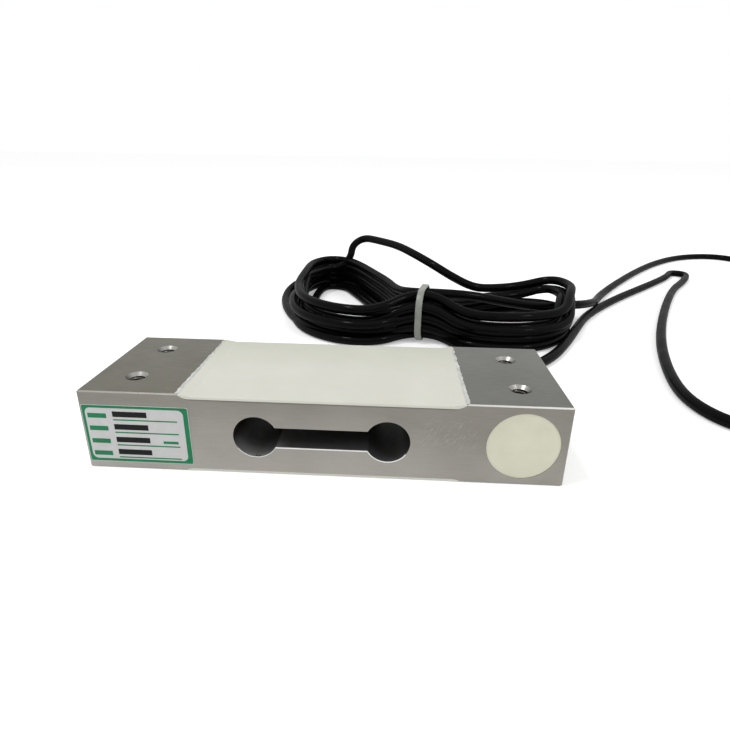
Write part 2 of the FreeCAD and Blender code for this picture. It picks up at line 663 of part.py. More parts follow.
# ---------------------------------------------------------------- build
def build():
    os.makedirs("parts", exist_ok=True)
    save(make_beam(), "beam_body")

    for name, gauge in mirrored_pair(make_gauge):
        save(gauge, "strain_gauge_top_" + name)
        save(lower(gauge), "strain_gauge_bottom_" + name)
    strip = make_strip()
    jumpers = make_jumpers()
    leads = make_leads()
    save(strip, "terminal_strip_top")
    save(lower(strip), "terminal_strip_bottom")
    save(jumpers, "gauge_jumpers_top")
    save(lower(jumpers), "gauge_jumpers_bottom")
    save(leads, "gauge_leads_top")
    save(lower(leads), "gauge_leads_bottom")
    save(make_sealant(TOP_RELIEF, TOP_SEALANT_THICKNESS), "sealant_top")
    save(lower(make_sealant(BOTTOM_RELIEF, BOTTOM_SEALANT_THICKNESS)), "sealant_bottom")

    save(make_board(), "junction_board")
    buried = [leads, lower(leads)]
    for i, name in enumerate(("zero", "span", "temperature")):
        resistor = make_resistor(i)
        buried.append(resistor)
        save(resistor, "trim_resistor_" + name)
    for i, colour in enumerate(("red", "black", "green", "white")):
        core = make_core(i)
        buried.append(core)
        save(core, "junction_core_" + colour)
        bare, tip = make_bare_core(i)
        save(bare, "bare_core_" + colour)
        save(tip, "bare_tip_" + colour)
    save(make_potting(buried), "junction_potting")

    save(make_label(), "rating_label")
    save(make_seal(), "cable_seal")
    hank = make_hank()
    save(hank, "cable_hank")
    save(make_tie(), "cable_tie")
    save(cable_along(LEAD_ROUTE, "lead").cut(hank), "cable_lead")
    save(cable_along(TAIL_ROUTE, "tail").cut(hank), "cable_tail")


build()
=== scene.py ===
"""Looks of a single point load cell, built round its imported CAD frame.

Metres, in the frame of the CAD model: X runs along the beam, Y from the labelled front face to the
cable side, Z up, with the origin under the middle of the beam, on the floor.
"""

import math
import random

import bmesh
import bpy
from mathutils import Matrix, Vector
from mathutils.bvhtree import BVHTree


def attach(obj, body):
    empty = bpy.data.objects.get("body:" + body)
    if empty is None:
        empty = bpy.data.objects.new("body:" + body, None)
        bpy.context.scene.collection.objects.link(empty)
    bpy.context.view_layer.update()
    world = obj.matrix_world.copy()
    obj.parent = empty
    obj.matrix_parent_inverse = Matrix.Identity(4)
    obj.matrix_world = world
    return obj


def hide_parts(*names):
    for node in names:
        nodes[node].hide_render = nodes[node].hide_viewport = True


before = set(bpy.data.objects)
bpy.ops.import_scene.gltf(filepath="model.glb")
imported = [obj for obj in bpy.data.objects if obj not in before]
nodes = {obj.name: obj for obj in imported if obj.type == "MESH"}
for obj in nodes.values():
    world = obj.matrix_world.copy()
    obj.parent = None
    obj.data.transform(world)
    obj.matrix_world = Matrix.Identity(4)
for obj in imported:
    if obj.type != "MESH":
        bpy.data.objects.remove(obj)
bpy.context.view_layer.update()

MM = 0.001
HALF_WIDTH = 25 * MM
BORE_X = 20.4 * MM
BORE_Z = 13.2 * MM
HOLE_X = 61.5 * MM
HOLE_Y = 12.5 * MM
CABLE_DIAMETER = 5 * MM
CABLE_RADIUS = CABLE_DIAMETER / 2


# ---------------------------------------------------------------- material tools
def new_material(name):
    """An empty node material and its main shader."""
    material = bpy.data.materials.new(name)
    material.use_nodes = True
    return material, material.node_tree.nodes["Principled BSDF"]


def add_node(material, kind, **settings):
    """Add a node and set its fields, then its input values given as inputs={name: value}."""
    node = material.node_tree.nodes.new(kind)
    inputs = settings.pop("inputs", {})
    for key, value in settings.items():
        setattr(node, key, value)
    for key, value in inputs.items():
        node.inputs[key].default_value = value
    return node


def link(material, source, target):
    material.node_tree.links.new(source, target)


def object_coordinates(material, scale=(1, 1, 1), rotation=(0, 0, 0), kind="POINT"):
    """Object coordinates, stretched and turned; kind TEXTURE turns them first and divides by the scale."""
    where = add_node(material, "ShaderNodeTexCoord")
    mapping = add_node(material, "ShaderNodeMapping", vector_type=kind)
    mapping.inputs["Scale"].default_value = scale
    mapping.inputs["Rotation"].default_value = rotation
    link(material, where.outputs["Object"], mapping.inputs["Vector"])
    return mapping.outputs["Vector"]


def noise(material, vector, scale, detail=4.0, roughness=0.55):
    node = add_node(material, "ShaderNodeTexNoise",
                    inputs={"Scale": scale, "Detail": detail, "Roughness": roughness})
    link(material, vector, node.inputs["Vector"])
    return node.outputs["Fac"]


def spread(material, value, low, high, from_low=0.3, from_high=0.7):
    """Map a 0..1 pattern to a range of numbers."""
    node = add_node(material, "ShaderNodeMapRange", inputs={
        "From Min": from_low, "From Max": from_high, "To Min": low, "To Max": high})
    link(material, value, node.inputs["Value"])
    return node.outputs["Result"]


def blend_colours(material, factor, first, second):
    """Mix two colours, or outputs, by a factor."""
    node = add_node(material, "ShaderNodeMix", data_type="RGBA")
    link(material, factor, node.inputs["Factor"])
    for socket, value in ((node.inputs[6], first), (node.inputs[7], second)):
        if isinstance(value, tuple):
            socket.default_value = (*value, 1)
        else:
            link(material, value, socket)
    return node.outputs[2]


def compute(material, operation, *terms):
    """One step of arithmetic on numbers and outputs."""
    node = add_node(material, "ShaderNodeMath", operation=operation)
    for socket, term in zip(node.inputs, terms):
        if isinstance(term, (int, float)):
            socket.default_value = term
        else:
            link(material, term, socket)
    return node.outputs[0]


def compute_vector(material, operation, first, second=None):
    """One step of vector arithmetic on an output and a constant."""
    node = add_node(material, "ShaderNodeVectorMath", operation=operation)
    link(material, first, node.inputs[0])
    if second:
        node.inputs[1].default_value = second
    return node


def split_vector(material, vector):
    node = add_node(material, "ShaderNodeSeparateXYZ")
    link(material, vector, node.inputs["Vector"])
    return node.outputs["X"], node.outputs["Y"], node.outputs["Z"]


def between(material, value, low, high, blur):
    """1 where a value lies between two limits, 0 outside, blurred at both ends."""
    rise = spread(material, value, 0.0, 1.0, low - blur, low + blur)
    fall = spread(material, value, 1.0, 0.0, high - blur, high + blur)
    return compute(material, "MULTIPLY", rise, fall)


def product(material, *factors):
    result = factors[0]
    for factor in factors[1:]:
        result = compute(material, "MULTIPLY", result, factor)
    return result


def add_bump(material, shader, height, distance, strength):
    """Raise a fine bump on a shader."""
    node = add_node(material, "ShaderNodeBump", inputs={"Strength": strength, "Distance": distance})
    link(material, height, node.inputs["Height"])
    link(material, node.outputs["Normal"], shader.inputs["Normal"])


def mottle(material, shader, pattern, low, high):
    """Colour a shader between two colours, by a pattern."""
    link(material, blend_colours(material, spread(material, pattern, 0.0, 1.0), low, high),
         shader.inputs["Base Color"])


def set_inputs(shader, **values):
    """Set a shader's constants; an underscore stands for a space in a name."""
    for name, value in values.items():
        shader.inputs[name.replace("_", " ")].default_value = value


def seen_directly(owner):
    """1 for rays from the camera, off something glossy or through something clear, 0 for all others."""
    path = add_node(owner, "ShaderNodeLightPath")
    seen = compute(owner, "MAXIMUM", path.outputs["Is Camera Ray"], path.outputs["Is Glossy Ray"])
    return compute(owner, "MAXIMUM", seen, path.outputs["Is Transmission Ray"])


# ---------------------------------------------------------------- finishes
def milled_aluminium():
    """Milled aluminium: fine tool marks and scratches, with painted light and shade: tops painted darker,
    flanks painted lighter towards the floor and darker to the right, bores and slot painted dark with a
    painted lit strip low at their front, painted highlights on the edge chamfers and countersinks, and a
    painted shade line under the coat's front edge."""
    material, shader = new_material("milled_aluminium")
    place = object_coordinates(material)
    marks = noise(material, object_coordinates(material, (60, 900, 900)), 3.0, 6.0)
    clouds = spread(material, noise(material, place, 45.0, 3.0), 0.0, 1.0)
    x, y, z = split_vector(material, place)
    geometry = add_node(material, "ShaderNodeNewGeometry")
    _, normal_y, normal_z = split_vector(material, geometry.outputs["Normal"])
    mirrored = compute_vector(material, "ABSOLUTE", place).outputs[0]
    out_x = split_vector(material, mirrored)[0]

    # painted light and shade: the flanks are coloured lighter towards the floor and darker higher up and
    # towards the right
    lit_low_flank = blend_colours(material, clouds, (0.318, 0.303, 0.278), (0.360, 0.345, 0.318))
    shaded_high_flank = blend_colours(material, clouds, (0.205, 0.195, 0.172), (0.235, 0.225, 0.202))
    shade = compute(material, "ADD", spread(material, z, 0.0, 1.0, 0.003, 0.025),
                    spread(material, x, 0.0, 0.45, 0.010, 0.045))
    flank = blend_colours(material, compute(material, "MINIMUM", shade, 1.0), lit_low_flank, shaded_high_flank)
    # painted shade: the top faces are coloured darker than the flanks, darker still at the left
    shaded_left_top = blend_colours(material, clouds, (0.140, 0.134, 0.106), (0.168, 0.162, 0.130))
    shaded_right_top = blend_colours(material, clouds, (0.155, 0.155, 0.140), (0.185, 0.184, 0.170))
    top = blend_colours(material, spread(material, x, 0.0, 1.0, -0.045, 0.045), shaded_left_top, shaded_right_top)
    colour = blend_colours(material, spread(material, normal_z, 0.0, 1.0, 0.75, 0.95), flank, top)

    front = spread(material, normal_y, 1.0, 0.0, -0.95, -0.6)
    slant = object_coordinates(material, (0.00035, 1, 0.003), (0, 0.6, 0), "TEXTURE")
    strokes = noise(material, slant, 1.0, 2.0)
    scratched = product(material, front, between(material, x, 0.030, 0.047, 0.004),
                        between(material, z, 0.012, 0.021, 0.003),
                        spread(material, strokes, 0.0, 0.28, 0.55, 0.68))
    colour = blend_colours(material, scratched, colour, (0.52, 0.50, 0.46))
    # painted shade: a dark line on the front face just under the coat's edge
    seam_shade = product(material, front, spread(material, out_x, 1.0, 0.0, 0.0395, 0.0415),
                   spread(material, z, 0.0, 0.6, 0.0249, 0.0253))
    colour = blend_colours(material, seam_shade, colour, (0.05, 0.045, 0.04))

    # painted highlight: the small front chamfers are coloured bright, more so towards the right
    edge_highlight = product(material, between(material, normal_z, 0.5, 0.9, 0.08),
                     spread(material, normal_y, 1.0, 0.0, -0.6, -0.4),
                     spread(material, x, 0.15, 1.0, -0.03, 0.06))
    colour = blend_colours(material, edge_highlight, colour, (0.62, 0.61, 0.58))

    around = compute_vector(material, "SUBTRACT", mirrored, (HOLE_X, HOLE_Y, 0)).outputs[0]
    around = compute_vector(material, "MULTIPLY", around, (1, 1, 0)).outputs[0]
    radius = compute_vector(material, "LENGTH", around).outputs["Value"]
    near_hole = spread(material, radius, 1.0, 0.0, 0.0036, 0.0037)
    sunk = compute(material, "MULTIPLY", near_hole, spread(material, normal_z, 1.0, 0.0, 0.9, 0.95))
    # painted highlight and shade: each countersink is coloured bright on its far side and dark on its near
    # side
    countersink_light_and_shade = blend_colours(material, spread(material, normal_y, 0.0, 1.0, -0.45, 0.15),
                         (0.34, 0.33, 0.31), (0.07, 0.068, 0.065))
    colour = blend_colours(material, sunk, colour, countersink_light_and_shade)
    # painted shade: the walls down inside the tapped holes are coloured almost black
    hole_shade = compute(material, "MULTIPLY", near_hole, spread(material, z, 1.0, 0.0, 0.0256, 0.0260))
    colour = blend_colours(material, hole_shade, colour, (0.05, 0.048, 0.045))

    in_cutout = product(material, spread(material, out_x, 1.0, 0.0, 0.0285, 0.0290),
                        between(material, z, 0.0055, 0.0210, 0.0002),
                        spread(material, compute(material, "ABSOLUTE", normal_y), 1.0, 0.0, 0.4, 0.6))
    # painted shade and light: bores and slot are coloured almost black, with a painted lit strip on their
    # upward faces near the front, brighter in the left bore
    lit_lip = blend_colours(material, spread(material, x, 0.0, 1.0, -0.018, -0.010),
                        (0.20, 0.20, 0.20), (0.060, 0.060, 0.060))
    lit = product(material, spread(material, normal_z, 0.0, 1.0, 0.1, 0.9),
                  spread(material, y, 1.0, 0.25, -0.024, -0.014))
    cutout_shading = blend_colours(material, lit, (0.016, 0.014, 0.011), lit_lip)
    colour = blend_colours(material, in_cutout, colour, cutout_shading)
    link(material, compute(material, "SUBTRACT", 1.0, in_cutout), shader.inputs["Metallic"])
    set_inputs(shader, Specular_IOR_Level=0.12)
    link(material, colour, shader.inputs["Base Color"])
    rough = spread(material, marks, 0.36, 0.52)
    link(material, compute(material, "SUBTRACT", rough, compute(material, "MULTIPLY", sunk, 0.14)),
         shader.inputs["Roughness"])
    add_bump(material, shader, marks, 0.00002, 0.5)
    return material


def cast_silicone():
    """White silicone coat, poured and levelled, coloured darker towards the back, with a few specks."""
    material, shader = new_material("cast_silicone")
    place = object_coordinates(material)
    clouds = noise(material, place, 60.0, 3.0)
    cloudy = spread(material, clouds, 0.0, 1.0)
    front_tone = blend_colours(material, cloudy, (0.635, 0.635, 0.560), (0.670, 0.670, 0.595))
    back_tone = blend_colours(material, cloudy, (0.545, 0.550, 0.465), (0.580, 0.585, 0.500))
    back = spread(material, split_vector(material, place)[1], 0.0, 1.0, 0.0, 0.024)
    colour = blend_colours(material, back, front_tone, back_tone)
    grains = add_node(material, "ShaderNodeTexVoronoi", inputs={"Scale": 420.0})
    link(material, place, grains.inputs["Vector"])
    patch = noise(material, place, 75.0, 1.0)
    dark = compute(material, "MULTIPLY", spread(material, grains.outputs["Distance"], 1.0, 0.0, 0.05, 0.12),
                   spread(material, patch, 0.0, 0.8, 0.66, 0.7))
    link(material, blend_colours(material, dark, colour, (0.25, 0.2, 0.14)), shader.inputs["Base Color"])
    set_inputs(shader, Roughness=0.42, Specular_IOR_Level=0.35)
    add_bump(material, shader, clouds, 0.0002, 0.4)
    return material


def smeared_skin():
    """Thin skin of silicone smeared over the metal at the coat's ends."""
    material, shader = new_material("smeared_skin")
    streaks = noise(material, object_coordinates(material, (900, 260, 900)), 1.0, 4.0)
    mottle(material, shader, streaks, (0.40, 0.40, 0.38), (0.72, 0.72, 0.69))
    set_inputs(shader, Roughness=0.5)
    add_bump(material, shader, streaks, 0.0001, 0.6)
    return material


def potting_compound():
    """Cream potting compound, set almost level."""
    material, shader = new_material("potting_compound")
    clouds = noise(material, object_coordinates(material), 110.0, 4.0)
    mottle(material, shader, clouds, (0.64, 0.635, 0.50), (0.70, 0.695, 0.56))
    set_inputs(shader, Roughness=0.55, Specular_IOR_Level=0.3)
    add_bump(material, shader, clouds, 0.00015, 0.4)
    return material


def fine_grain(name, low, high, roughness=0.4, gloss=0.5, metallic=0.0):
    """Film, ink, plain plastic or small metal parts: an almost even colour with a faint grain."""
    material, shader = new_material(name)
    grain = noise(material, object_coordinates(material), 300.0, 3.0)
    mottle(material, shader, grain, low, high)
    link(material, spread(material, grain, roughness - 0.04, roughness + 0.06),
         shader.inputs["Roughness"])
    set_inputs(shader, Specular_IOR_Level=gloss, Metallic=metallic)
    add_bump(material, shader, grain, 0.00002, 0.4)
    return material


def pvc_jacket():
    """Satin black PVC with faint scuffs."""
    material, shader = new_material("pvc_jacket")
    scuffs = noise(material, object_coordinates(material), 90.0, 3.0)
    mottle(material, shader, scuffs, (0.0010, 0.0010, 0.0013), (0.0022, 0.0022, 0.0025))
    link(material, spread(material, scuffs, 0.45, 0.60), shader.inputs["Roughness"])
    set_inputs(shader, Specular_IOR_Level=0.02, Coat_Weight=0.09, Coat_Roughness=0.09)
    add_bump(material, shader, scuffs, 0.00005, 0.2)
    return material


def tie_nylon():
    """Natural nylon with a painted shade: coloured the grey that the white nylon shows in shade, slightly
    see-through at its edges.
    """
    material, shader = new_material("tie_nylon")
    grain = noise(material, object_coordinates(material), 260.0, 3.0)
    mottle(material, shader, grain, (0.23, 0.25, 0.215), (0.29, 0.31, 0.27))
    set_inputs(shader, Roughness=0.38, Subsurface_Weight=0.15, Subsurface_Radius=(MM, MM, MM))
    add_bump(material, shader, grain, 0.00005, 0.4)
    return material


def tinned_wire():
    """Tinned strands, drawn lengthwise."""
    material, shader = new_material("tinned_wire")
    grain = noise(material, object_coordinates(material, (400, 1500, 1500)), 1.0, 3.0)
    mottle(material, shader, grain, (0.55, 0.55, 0.54), (0.66, 0.66, 0.65))
    set_inputs(shader, Metallic=1.0, Roughness=0.3)
    add_bump(material, shader, grain, 0.00003, 0.5)
    return material


def enamelled_copper():
    """Copper wire under a thin clear enamel."""
    material, shader = new_material("enamelled_copper")
    grain = noise(material, object_coordinates(material), 900.0, 3.0)
    mottle(material, shader, grain, (0.50, 0.20, 0.07), (0.62, 0.28, 0.11))
    set_inputs(shader, Metallic=0.8, Roughness=0.3)
    return material


ALUMINIUM = milled_aluminium()
SILICONE = cast_silicone()
POTTING = potting_compound()
SMEAR = smeared_skin()
LABEL_FILM = fine_grain("label_film", (0.56, 0.565, 0.56), (0.61, 0.61, 0.605), gloss=0.25)
LABEL_GREEN = fine_grain("label_green", (0.016, 0.185, 0.080), (0.024, 0.225, 0.100), gloss=0.12)
LABEL_INK = fine_grain("label_ink", (0.006, 0.007, 0.007), (0.010, 0.011, 0.011), gloss=0.12)
# threads and burr: metal painted dark as shade inside the holes
SHADED_HOLE_METAL = fine_grain("hole_metal_in_shade", (0.08, 0.078, 0.072), (0.12, 0.117, 0.11), 0.3, metallic=1.0)
# near white: a painted highlight on the bead along the cutouts' lower front rim
EDGE_HIGHLIGHT = fine_grain("edge_highlight_paint", (0.86, 0.86, 0.84), (0.94, 0.94, 0.92), 0.35)
JACKET = pvc_jacket()
SHADED_NYLON = tie_nylon()
TINNED = tinned_wire()
COPPER = enamelled_copper()
LAMINATE = fine_grain("board_laminate", (0.02, 0.14, 0.06), (0.03, 0.18, 0.08), 0.35)
GAUGE_FILM = fine_grain("gauge_film", (0.45, 0.22, 0.04), (0.55, 0.29, 0.06), 0.3)
CHIP_BODY = fine_grain("chip_body", (0.02, 0.02, 0.02), (0.03, 0.03, 0.03), 0.5)
CORE_PLASTIC = {
    "red": fine_grain("core_red", (0.45, 0.015, 0.015), (0.55, 0.02, 0.02), 0.35),
    "black": fine_grain("core_black", (0.012, 0.012, 0.012), (0.02, 0.02, 0.02), 0.35),
    "green": fine_grain("core_green", (0.015, 0.22, 0.05), (0.02, 0.28, 0.07), 0.35),
    "white": fine_grain("core_white", (0.66, 0.66, 0.63), (0.72, 0.72, 0.70), 0.35),
}


# ---------------------------------------------------------------- finishes of the CAD nodes
def finish_node(node, material):
    for place in nodes[node].material_slots:
        place.material = material


def finish_cad_nodes():
    finish_node("beam_body", ALUMINIUM)
    finish_node("junction_potting", POTTING)
    finish_node("rating_label", LABEL_FILM)
    finish_node("cable_seal", SILICONE)
    finish_node("junction_board", LAMINATE)
    for side in ("top", "bottom"):
        finish_node("sealant_" + side, SILICONE)
        finish_node("terminal_strip_" + side, LAMINATE)
        finish_node("gauge_jumpers_" + side, COPPER)
        finish_node("gauge_leads_" + side, COPPER)
        for end in ("left", "right"):
            finish_node("strain_gauge_" + side + "_" + end, GAUGE_FILM)
    for part in ("zero", "span", "temperature"):
        finish_node("trim_resistor_" + part, CHIP_BODY)
    for colour, plastic in CORE_PLASTIC.items():
        finish_node("junction_core_" + colour, plastic)
        finish_node("bare_core_" + colour, plastic)
        finish_node("bare_tip_" + colour, TINNED)


# ---------------------------------------------------------------- piece tools
def add_piece(name, bm, material, smooth_angle=None):
    """Turn a bmesh into a piece that rides on the part."""
    bmesh.ops.recalc_face_normals(bm, faces=bm.faces)
    mesh = bpy.data.meshes.new(name)
    bm.to_mesh(mesh)
    bm.free()
    piece = bpy.data.objects.new(name, mesh)
    bpy.context.scene.collection.objects.link(piece)
    mesh.materials.append(material)
    if smooth_angle:
        mesh.shade_smooth()
        mesh.set_sharp_from_angle(angle=math.radians(smooth_angle))
    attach(piece, "root")
    return piece


def add_block(bm, low, high):
    """Put a box between two corners into a bmesh and give back its vertices."""
    made = bmesh.ops.create_cube(bm, size=1.0)["verts"]
    low = Vector(low)
    high = Vector(high)
    bmesh.ops.scale(bm, vec=high - low, verts=made)
    bmesh.ops.translate(bm, vec=(low + high) / 2, verts=made)
    return made


def round_edges(bm, edges, radius, segments=4):
    bmesh.ops.bevel(bm, geom=edges, offset=radius, segments=segments, profile=0.5,
                    affect="EDGES", material=-1)


# ---------------------------------------------------------------- cable
# from inside the cable bore, past the hank, round the open loop and back to the hank; a place given
# without a height lies on the floor
LEAD_ROUTE = [
    (0.05375, 0.020, 0.0135), (0.05375, 0.041, 0.0135), (0.068, 0.054, 0.007), (0.085, 0.066),
    (0.100, 0.082), (0.113, 0.104), (0.126, 0.130), (0.138, 0.153), (0.153, 0.174), (0.177, 0.203),
    (0.202, 0.230), (0.223, 0.253), (0.237, 0.269), (0.2455, 0.2805), (0.2505, 0.2890), (0.2575, 0.2892),
    (0.2610, 0.2830), (0.2565, 0.2735), (0.246, 0.257), (0.225, 0.229), (0.192, 0.169), (0.165, 0.113),
    (0.148, 0.066), (0.142, 0.036), (0.149, 0.015), (0.170, 0.008), (0.189, 0.022), (0.206, 0.057),
    (0.236, 0.112), (0.262, 0.171), (0.292, 0.226), (0.319, 0.276), (0.340, 0.325), (0.347, 0.356),
    (0.329, 0.375), (0.294, 0.365), (0.258, 0.333), (0.222, 0.289), (0.189, 0.243), (0.166, 0.208),
    (0.154, 0.183, 0.0045), (0.145, 0.164, 0.0085), (0.134, 0.1495, 0.0112), (0.1245, 0.1425, 0.0126),
    (0.115, 0.1375, 0.0128), (0.102, 0.132, 0.0140), (0.083, 0.125, 0.0180), (0.064, 0.120, 0.0225),
]
# from the hank to the bare end behind the beam
TAIL_ROUTE = [
    (0.054, 0.098), (0.057, 0.083), (0.049, 0.068), (0.033, 0.056), (0.013, 0.048), (-0.008, 0.0445),
    (-0.025, 0.044),
]
# the hank's turns: places that each turn passes, with the way out of the bundle there
LEFT_FAR = [
    ((0.0225, 0.1335), (0.7, 0.6)), ((0.0170, 0.153), (0.8, 0.5)), ((0.008, 0.175), (0.8, 0.6)),
    ((-0.003, 0.201), (0.8, 0.6)), ((-0.012, 0.217), (0.2, 0.98)), ((-0.027, 0.220), (-0.2, 0.98)),
    ((-0.0355, 0.204), (-0.95, 0.3)), ((-0.0360, 0.180), (-1.0, 0.0)),
]
LEFT_NEAR = [
    ((-0.0345, 0.150), (-1.0, -0.1)), ((-0.027, 0.121), (-0.8, -0.6)), ((-0.009, 0.104), (-0.4, -0.9)),
    ((0.012, 0.101), (0.0, -1.0)),
]
RIGHT_NEAR = [
    ((0.058, 0.102), (0.0, -1.0)), ((0.077, 0.098), (0.0, -1.0)), ((0.094, 0.101), (0.4, -0.9)),
    ((0.106, 0.113), (0.9, -0.4)),
]
RIGHT_FAR = [
    ((0.112, 0.128), (1.0, -0.2)), ((0.118, 0.146), (1.0, 0.1)), ((0.113, 0.159), (0.7, 0.7)),
    ((0.098, 0.162), (0.0, 1.0)), ((0.078, 0.154), (-0.2, 1.0)), ((0.060, 0.140), (-0.3, 1.0)),
]
# places across the bundle at the tie, from the lowest turn up: offset along Y, height
FRONT_SLOTS = [
    (-5.2, 3.8), (0, 3.8), (-10.2, 8.9), (-5.1, 8.9), (-10.4, 14), (-5.2, 14), (-9.6, 19.1),
    (-4.5, 19.2), (-2.6, 24.2),
]
BACK_SLOTS = [
    (5.2, 3.8), (10.2, 8.9), (5.1, 8.9), (10.4, 14), (5.2, 14), (9.6, 19.1), (4.5, 19.2), None,
    (2.6, 24.2),
]
# places across a lobe's bundle, from the lowest turn up: offset outwards, height
NESTED = [
    (5.1, 2.6), (0, 2.6), (-5.1, 2.6), (2.6, 7.0), (-2.5, 7.0), (5.1, 11.4), (0, 11.5), (0.5, 17.5),
    (2.0, 18.5),
]
LEFT_PILE = [
    (5.1, 2.6), (0, 2.6), (-5.1, 2.6), (2.6, 7.2), (4.0, 12.0), (-1.4, 12.0), (1.5, 16.6), (0.5, 17.5),
    (-0.5, 21.0),
]
RIGHT_PILE = [
    (5.1, 2.6), (0, 2.6), (-5.1, 2.6), (3.6, 7.3), (-1.6, 7.4), (3.2, 12.2), (-1.4, 13.2), (0.2, 17.9),
]
# at the right end the upper turns lean outwards and ride over the strand that comes in there
RIGHT_END = 0.1
LEAN = 0.3
RIDING_X = 0.11
RIDING_FROM = 10
RIDING_LIFT = 5.4
TIE_X = 0.037
TIE_Y = 0.114
TIE_SKEW = 12
# one turn has slipped out of the tie and stands up at the back; one lies loose on the floor
SLIPPED_TURN = [
    (0.068, 0.1525, 0.0195), (0.056, 0.155, 0.0248), (0.045, 0.160, 0.0305), (0.034, 0.172, 0.0345),
    (0.023, 0.189, 0.0370), (0.010, 0.207, 0.0370), (-0.001, 0.219, 0.0370), (-0.009, 0.217, 0.0320),
    (-0.010, 0.214, 0.0240), (-0.016, 0.217, 0.0170), (-0.030, 0.208, 0.0150),
]
LOOSE_TURN = [
    (-0.024, 0.224, 0.0040), (-0.038, 0.217, 0.0078), (-0.049, 0.203, 0.0060), (-0.052, 0.184, 0.0030),
    (-0.047, 0.158, 0.0026), (-0.037, 0.133, 0.0026), (-0.024, 0.111, 0.0050),
]
TURNS = 9


def on_floor(route):
    """Give every place without a height the height of a strand that lies on the floor."""
    return [(*place, CABLE_RADIUS) if len(place) == 2 else place for place in route]


def pass_lobe(places, lie, looseness, rng):
    """One turn's points round a lobe, at its place in the bundle."""
    offset, height = lie
    points = []
    for (x, y), (out_x, out_y) in places:
        reach = offset * MM + looseness + rng.uniform(-0.4, 0.4) * MM
        lift = 0
        if x > RIGHT_END:
            reach += LEAN * height * MM
        if x > RIDING_X and height > RIDING_FROM:
            lift = RIDING_LIFT
        points.append((x + out_x * reach, y + out_y * reach, (height + lift) * MM))
    return points


def through_tie(slot):
    """Two points that lead a strand straight through the tie."""
    offset, height = slot
    skew = math.tan(math.radians(TIE_SKEW)) * offset * MM
    return [(TIE_X + skew + side * 7 * MM, TIE_Y + offset * MM, height * MM) for side in (-1, 1)]


def hank_turns():
    """All the turns of the tied hank, wound from the top one down."""
    rng = random.Random(5)
    points = []
    for turn in range(TURNS):
        level = TURNS - 1 - turn
        left_slack = rng.uniform(-1.0, 2.0) * MM
        right_slack = rng.uniform(-1.0, 2.0) * MM
        left = pass_lobe(LEFT_FAR, LEFT_PILE[level], left_slack, rng)
        left += pass_lobe(LEFT_NEAR, NESTED[level], left_slack, rng)
        if BACK_SLOTS[level] is None:
            points = points[:-1] + SLIPPED_TURN + left[7:]
        else:
            points += reversed(through_tie(BACK_SLOTS[level]))
            points += left[:4] + LOOSE_TURN + left[10:] if level == 1 else left
        points += through_tie(FRONT_SLOTS[level])
        if level > 0:
            points += pass_lobe(RIGHT_NEAR, NESTED[level - 1], right_slack, rng)
            points += pass_lobe(RIGHT_FAR, RIGHT_PILE[level - 1], right_slack, rng)
    return points


def make_cable():
    """The whole cable as one smooth line."""
    route = on_floor(LEAD_ROUTE) + hank_turns() + on_floor(TAIL_ROUTE)
    curve = bpy.data.curves.new("signal_cable", "CURVE")
    curve.dimensions = "3D"
    spline = curve.splines.new("NURBS")
    spline.points.add(len(route) - 1)
    for point, place in zip(spline.points, route):
        point.co = (*place, 1)
    spline.order_u = 3
    spline.use_endpoint_u = True
    spline.resolution_u = 10
    curve.bevel_depth = CABLE_RADIUS
    curve.bevel_resolution = 5
    curve.use_fill_caps = True
    curve.materials.append(JACKET)
    cable = bpy.data.objects.new("signal_cable", curve)
    bpy.context.scene.collection.objects.link(cable)
    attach(cable, "root")
    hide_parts("cable_lead", "cable_hank", "cable_tail")
    return cable


def cable_length(cable):
    """Length of the cable's centreline."""
    plain = cable.data.copy()
    plain.bevel_depth = 0
    probe = bpy.data.objects.new("probe", plain)
    bpy.context.scene.collection.objects.link(probe)
    bpy.context.view_layer.update()
    line = bpy.data.meshes.new_from_object(probe.evaluated_get(bpy.context.evaluated_depsgraph_get()))
    points = [v.co.copy() for v in line.vertices]
    bpy.data.objects.remove(probe)
    return sum((b - a).length for a, b in zip(points, points[1:]))


def make_tie():
    """Cable tie round the hank: thin band and ratchet head. thin band, ratchet head and cut tail."""
    bm = bmesh.new()
    half = 1.7 * MM
    back = TIE_Y + 13.4 * MM
    add_block(bm, (TIE_X - half, TIE_Y - 13.2 * MM, 1.1 * MM), (TIE_X + half, back, 27.2 * MM))
    along = [e for e in bm.edges if abs(e.verts[0].co.x - e.verts[1].co.x) > MM]
    round_edges(bm, along, 9 * MM, 9)
    ends = [f for f in bm.faces if abs(f.normal.x) > 0.9]
    bmesh.ops.delete(bm, geom=ends, context="FACES")
    bmesh.ops.recalc_face_normals(bm, faces=bm.faces)
    bmesh.ops.solidify(bm, geom=bm.faces, thickness=-1.1 * MM)
    rims = [e for e in bm.edges if abs(abs(e.verts[0].co.x - TIE_X) - half) < 1e-6
            and abs(e.verts[0].co.x - e.verts[1].co.x) < 1e-6 and e.calc_face_angle(0) > 1.0]
    round_edges(bm, rims, 0.3 * MM, 2)
    head = add_block(bm, (TIE_X - 2.8 * MM, back - 0.2 * MM, 11.2 * MM),
                     (TIE_X + 2.8 * MM, back + 4.2 * MM, 17.8 * MM))
    head_edges = {e for v in head for e in v.link_edges}
    round_edges(bm, list(head_edges), 0.8 * MM, 3)
    bmesh.ops.rotate(bm, cent=(TIE_X, TIE_Y, 0), matrix=Matrix.Rotation(math.radians(-TIE_SKEW), 3, "Z"),
                     verts=bm.verts)
    return add_piece("nylon_tie", bm, SHADED_NYLON, 40)


# ---------------------------------------------------------------- label print
LABEL_ROWS = (15.0, 10.6, 6.1, 1.7)
LABEL_LOW = Vector((-0.0743, -0.02515, 0.0025))
INK = 0.02 * MM


